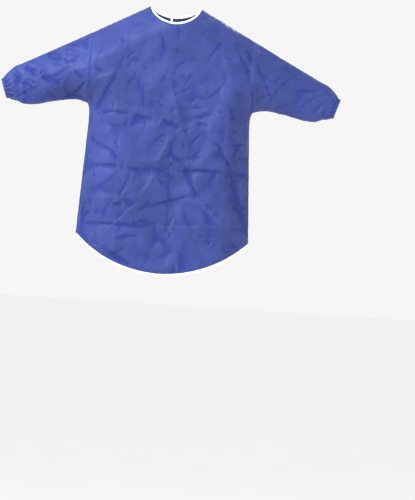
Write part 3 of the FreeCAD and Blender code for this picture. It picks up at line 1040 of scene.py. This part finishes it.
BODY = ("smock_body",)
shoulder_end = 2 * (SHOULDER_CELLS + 1)      # columns of a fine grid from the armhole to the neck
from_top = np.swapaxes(fine["front"][::-1], 0, 1)
edges = {"neck_front": Edge(from_top[shoulder_end:-shoulder_end, :9], 1),
         "hem": Edge(np.swapaxes(fine["front"], 0, 1)[:, :9], -1)}
for side, sign in SIDES:
    g = fine["back_" + side]
    edges["neck_back_" + side] = Edge(np.swapaxes(g[::-1], 0, 1)[shoulder_end:, :9], sign)
    edges["free_" + side] = Edge(g[:, ::-1][:, :9], -sign)


def bind(bound, bodies=BODY, bend=None):
    """The tapes over bound edges, and then each tape's stitches."""
    tapes = [join_piece(tape(name, edges[edge], white_tape, seed, proud),
                        bodies, [node], bend) for name, _, edge, node, seed, proud in bound]
    rows = [join_piece(tape_stitches(name, edges[edge], white_thread, proud),
                       bodies, (), bend) for _, name, edge, _, _, proud in bound]
    return tapes + rows


front = cloth_object("front_cloth", ["front"], outside, inside)
join_piece(front, BODY, ["front_panel"])
bound = bind([("neck_tape_front", "neck_tape_front_stitches", "neck_front", "neck_binding_front", 70, 0.08),
              ("hem_tape", "hem_tape_stitches", "hem", "hem_binding", 72, 0.0)])
size, area = flat_facts(["front"])


def fold_bend(sign):
    """Two points across the line that a back flap folds on: at the line, and towards the centre."""
    a = np.array([(NECK + HEM_X) / 2, 0, HEM_Z / 2])
    b = a + np.array([fold_axis[2], 0, -fold_axis[0]]) * FLAP_BEND
    return point(sign * a[0], 0, a[2]), point(sign * b[0], 0, b[2])


def sleeve_bend(sign):
    """Two points along a sleeve: at the armhole, and where the cloth has taken the sleeve's turn."""
    return point(sign * ARM_X, 0, 0), point(sign * (ARM_X + SLEEVE_BEND), 0, 0)


for side, sign in SIDES:
    bodies, bend = ("smock_body", side + "_flap"), fold_bend(sign)
    back = cloth_object("back_cloth_" + side, ["back_" + side], outside, inside)
    join_piece(back, bodies, ["back_side_" + side, "back_flap_" + side], bend)
    bound = bind([("neck_tape_back_" + side, "neck_tape_back_stitches_" + side, "neck_back_" + side,
                   "neck_binding_back_" + side, 74, 0.25),
                  ("back_edge_tape_" + side, "back_edge_stitches_" + side, "free_" + side,
                   "back_edge_binding_" + side, 76, 0.0)], bodies, bend)
    size, area = flat_facts(["back_" + side])

for side, sign in SIDES:
    sleeve = cloth_object("sleeve_cloth_" + side, ["fore_" + side, "aft_" + side], outside, inside)
    join_piece(sleeve, ("smock_body", side + "_sleeve"),
               ["sleeve_head_" + side, "sleeve_" + side], sleeve_bend(sign))
    size, area = flat_facts(["fore_" + side, "aft_" + side])


# ---------------- cuffs
CUFF_SECTION = [(-7.6, 24.4), (-6.6, 25.3), (-4.0, 25.4), (0, 25.3), (3.0, 25.5), (5.6, 25.3),
                (6.8, 24.8), (7.6, 23.8), (7.2, 23.0), (5.0, 22.6), (0, 22.45), (-5, 22.6), (-7.4, 23.2)]


def cuff_rays(sign, turn):
    """A cuff's middle and axis, and at each angle the way out and the height of its gathers."""
    mid, out, up = (v * (sign, 1, 1) for v in (cuff_mid, cuff_dir, cuff_up))
    ray = np.outer(np.sin(turn), (0, -1, 0)) - np.outer(np.cos(turn), up)
    return mid, out, ray, cuff_pleats(turn + sign, 1.0)[:, None]


def cuff_casing(side, sign):
    steps = 276
    mid, out, ray, pleat = cuff_rays(sign, np.linspace(0, 2 * math.pi, steps, endpoint=False))
    columns = []
    for a, r in CUFF_SECTION:
        outer = r > 23.5
        swell = 1.5 * pleat * smooth((9.5 - a) / 6.0) if outer else 0.1 * pleat
        reach = 0.7 * pleat if a > 5 else 0
        columns.append(mid + out * (a + reach) + ray * (r + swell))
    faces = tube_faces(steps, len(CUFF_SECTION), closed=True)
    return mesh_object("cuff_casing_cloth_" + side, np.stack(columns, 1).reshape(-1, 3), faces, outside)


def ring_line(sign, a, r, swell):
    """A wavy line round a cuff, a along it and r from its middle, with the way out at each point."""
    mid, out, ray, pleat = cuff_rays(sign, np.linspace(0, 2 * math.pi, 277))
    return mid + out * a + ray * (r + swell * pleat), ray


for side, sign in SIDES:
    casing = cuff_casing(side, sign)
    join_piece(casing, (side + "_sleeve",), ["cuff_casing_" + side])
    row = thread_row("cuff_stitches_" + side, [ring_line(sign, 4.4, 25.5, 1.4)], blue_thread)
    join_piece(row, (side + "_sleeve",))
    band = frame["nodes"]["cuff_elastic_" + side]
    band.data.materials.clear()
    band.data.materials.append(elastic)


# ---------------- seam allowances inside
def seam_strip(name, line, inward, node, bodies=BODY, bend=None):
    """The two trimmed edges of a seam, overlocked together, standing a little inside the garment."""
    run = run_along(line)
    count = int(run[-1] / 2.2)
    at = np.linspace(0, run[-1], count)
    base, way = read_at(at, run, line), unit(read_at(at, run, inward))
    flat = unit(np.cross(np.gradient(base, axis=0), way))
    lean = 1.2 * noise2(at / 40, 0.0, 81)[:, None] + 0.4 * np.sin(at * 1.1)[:, None]
    rings = []
    for a, b in ((0.8, 0.35), (4.0, 0.42), (6.2, 0.55), (7.0, 0.5), (7.4, 0.0),
                 (7.0, -0.5), (6.2, -0.55), (4.0, -0.42), (0.8, -0.35)):
        wobble = 0.22 * np.sin(at * 2.4)[:, None] if a > 6 else 0
        rings.append(base + way * (a + wobble) + flat * (b + lean * (a / 7.4) ** 2))
    points = np.stack(rings, 1).reshape(-1, 3)
    strip = mesh_object(name, points, tube_faces(count, 9), raw_edge)
    return join_piece(strip, bodies, [node], bend)


for side, sign in SIDES:
    body = fine["front"] if sign > 0 else fine["front"][:, ::-1]
    toward = np.array([-sign * 0.8, -0.6, 0])
    line = body[4:2 * LOW_ROWS - 3, -1]
    seam_strip("side_seam_edge_" + side, line, np.tile(toward, (len(line), 1)), "side_seam_" + side)
    line = body[-1, -shoulder_end - 1:][4:-4]
    down = np.array([-sign * SLOPE * 0.6, -0.35, -0.9])
    seam_strip("shoulder_seam_edge_" + side, line, np.tile(down, (len(line), 1)), "shoulder_seam_" + side)
    loop = np.vstack([fine["fore_" + side][:, 0], fine["aft_" + side][::-1, 0][1:]])
    centre = np.array([sign * (ARM_X - 12), -DEPTH / 2, (PIT_Z + SHOULDER_Z) / 2])
    inward = centre - loop
    inward[:, 0] = -sign * 12.0
    inward[:, 2] *= 0.25
    seam_strip("armhole_seam_edge_" + side, loop, inward, "armhole_seam_" + side)
    line = fine["fore_" + side][0, 8:-14]
    up = np.array([0, -0.5, 0.85])
    seam_strip("underarm_seam_edge_" + side, line, np.tile(up, (len(line), 1)), "underarm_seam_" + side,
               ("smock_body", side + "_sleeve"), sleeve_bend(sign))


# ---------------- hook and loop patches
def rounded_outline(half_w, half_h, corner):
    """A rectangle with rounded corners, round its middle."""
    outline = []
    for cx, cz, first in ((1, 1, 0), (-1, 1, 90), (-1, -1, 180), (1, -1, 270)):
        for q in range(0, 91, 15):
            t = math.radians(first + q)
            outline.append((cx * (half_w - corner) + corner * math.cos(t),
                            cz * (half_h - corner) + corner * math.sin(t)))
    return outline


def stem_rings(root, face):
    """Rings of one hook or loop that stands on a patch and leans over."""
    stem = [root, root + (0, face * 0.25, 0), root + (0.18, face * 0.42, 0), root + (0.4, face * 0.3, 0)]
    rings = []
    for c, r in zip(stem, (0.16, 0.14, 0.13, 0.09)):
        rings += [c + (r * math.cos(q), 0, r * math.sin(q)) for q in
                  np.linspace(0, 2 * math.pi, 5, endpoint=False)]
    return rings


PATCH_HALF_THICK = 0.35
STEM_STEP, STEM_MARGIN = 1.35, 1.2


def patch(name, node, body, material, tilt, face):
    """A rounded rectangle of tape on a flap, with its hooks or loops standing on the side that fastens."""
    low, high = node_box(node)
    mid = (low + high) / 2
    half_w, half_h, thick = (high[0] - low[0]) / 2 - 0.2, (high[2] - low[2]) / 2 - 0.2, PATCH_HALF_THICK
    outline = rounded_outline(half_w, half_h, 2.2)
    sign = 1 if body.startswith("left") else -1

    def plane(x, z):
        return mid[1] + tilt * ((x - mid[0]) * sign * fold_axis[2] - (z - mid[2]) * fold_axis[0])

    points = []
    for b, grow in ((-thick, 0), (-thick * 0.6, 0.15), (thick * 0.6, 0.15), (thick, 0)):
        for x, z in outline:
            k = 1 + grow / half_w
            px, pz = mid[0] + x * k, mid[2] + z * k
            points.append((px, plane(px, pz) + b, pz))
    faces = tube_faces(4, len(outline))
    rng = np.random.RandomState(9)
    for i in range(int(2 * (half_w - STEM_MARGIN) / STEM_STEP) + 1):
        for j in range(int(2 * (half_h - STEM_MARGIN) / STEM_STEP) + 1):
            x = mid[0] - half_w + STEM_MARGIN + i * STEM_STEP + rng.uniform(-0.1, 0.1)
            z = mid[2] - half_h + STEM_MARGIN + j * STEM_STEP + rng.uniform(-0.1, 0.1)
            faces += tube_faces(4, 5, start=len(points))
            points += stem_rings(np.array([x, plane(x, z) + face * (thick - 0.05), z]), face)
    return join_piece(mesh_object(name, points, faces, material), (body,), [node])


patch("hook_tape_patch", "hook_patch", "right_flap", hook_tape, FLAP_TILT, -1)
patch("loop_tape_patch", "loop_patch", "left_flap", loop_tape, -FLAP_TILT, 1)


# ---------------- floor, light and camera
def floor():
    n = Nodes("pale_floor")
    tone = n.ramp(n.noise(n.where, 3.0, 4.0), [(0.3, 0.95), (0.7, 0.97)])
    material = n.set(Base_Color=tone, Roughness=0.9, Specular_IOR_Level=0.1)
    reach = 60.0
    mesh = bpy.data.meshes.new("floor")
    z = cad_low[2] - 0.9
    corners = [(-reach, -reach, z), (reach, -reach, z), (reach, reach, z), (-reach, reach, z)]
    mesh.from_pydata(corners, [], [[0, 1, 2, 3]])
    mesh.materials.append(material)
    new_object("floor", mesh)


def area_light(name, place, target, size, power):
    data = bpy.data.lights.new(name, "AREA")
    data.shape, data.size, data.energy = "DISK", size, power
    lamp = bpy.data.objects.new(name, data)
    lamp.location = place
    lamp.rotation_euler = (Vector(target) - Vector(place)).to_track_quat("-Z", "Y").to_euler()
    bpy.context.scene.collection.objects.link(lamp)


def studio():
    world = bpy.data.worlds.new("studio")
    world.use_nodes = True
    background = world.node_tree.nodes["Background"]
    background.inputs["Color"].default_value = (1.0, 1.0, 1.0, 1)
    background.inputs["Strength"].default_value = 0.92
    bpy.context.scene.world = world
    bpy.context.scene.view_settings.view_transform = "Standard"
    middle = (0, -0.03, -0.34)
    area_light("key", (-1.35, -1.35, 0.85), middle, 0.40, 72)
    area_light("fill", (2.3, -1.4, -0.1), middle, 1.6, 22)
    area_light("rear", (1.2, 2.2, 1.0), middle, 1.2, 75)


def camera():
    data = bpy.data.cameras.new("camera")
    data.lens = 300.0
    cam = bpy.data.objects.new("camera", data)
    roll = math.radians(3.6)
    height = 1.287          # metres of the picture, top to bottom, at the garment's front
    distance = height * data.lens / data.sensor_width
    centre = Vector((0.120, cad_low[1], -0.622))
    cam.location = centre - Vector((0, distance, 0))
    upright = Matrix.Rotation(math.radians(90), 3, "X")
    cam.rotation_euler = (upright @ Matrix.Rotation(roll, 3, "Z")).to_euler()
    bpy.context.scene.collection.objects.link(cam)
    bpy.context.scene.camera = cam


floor()
studio()
camera()
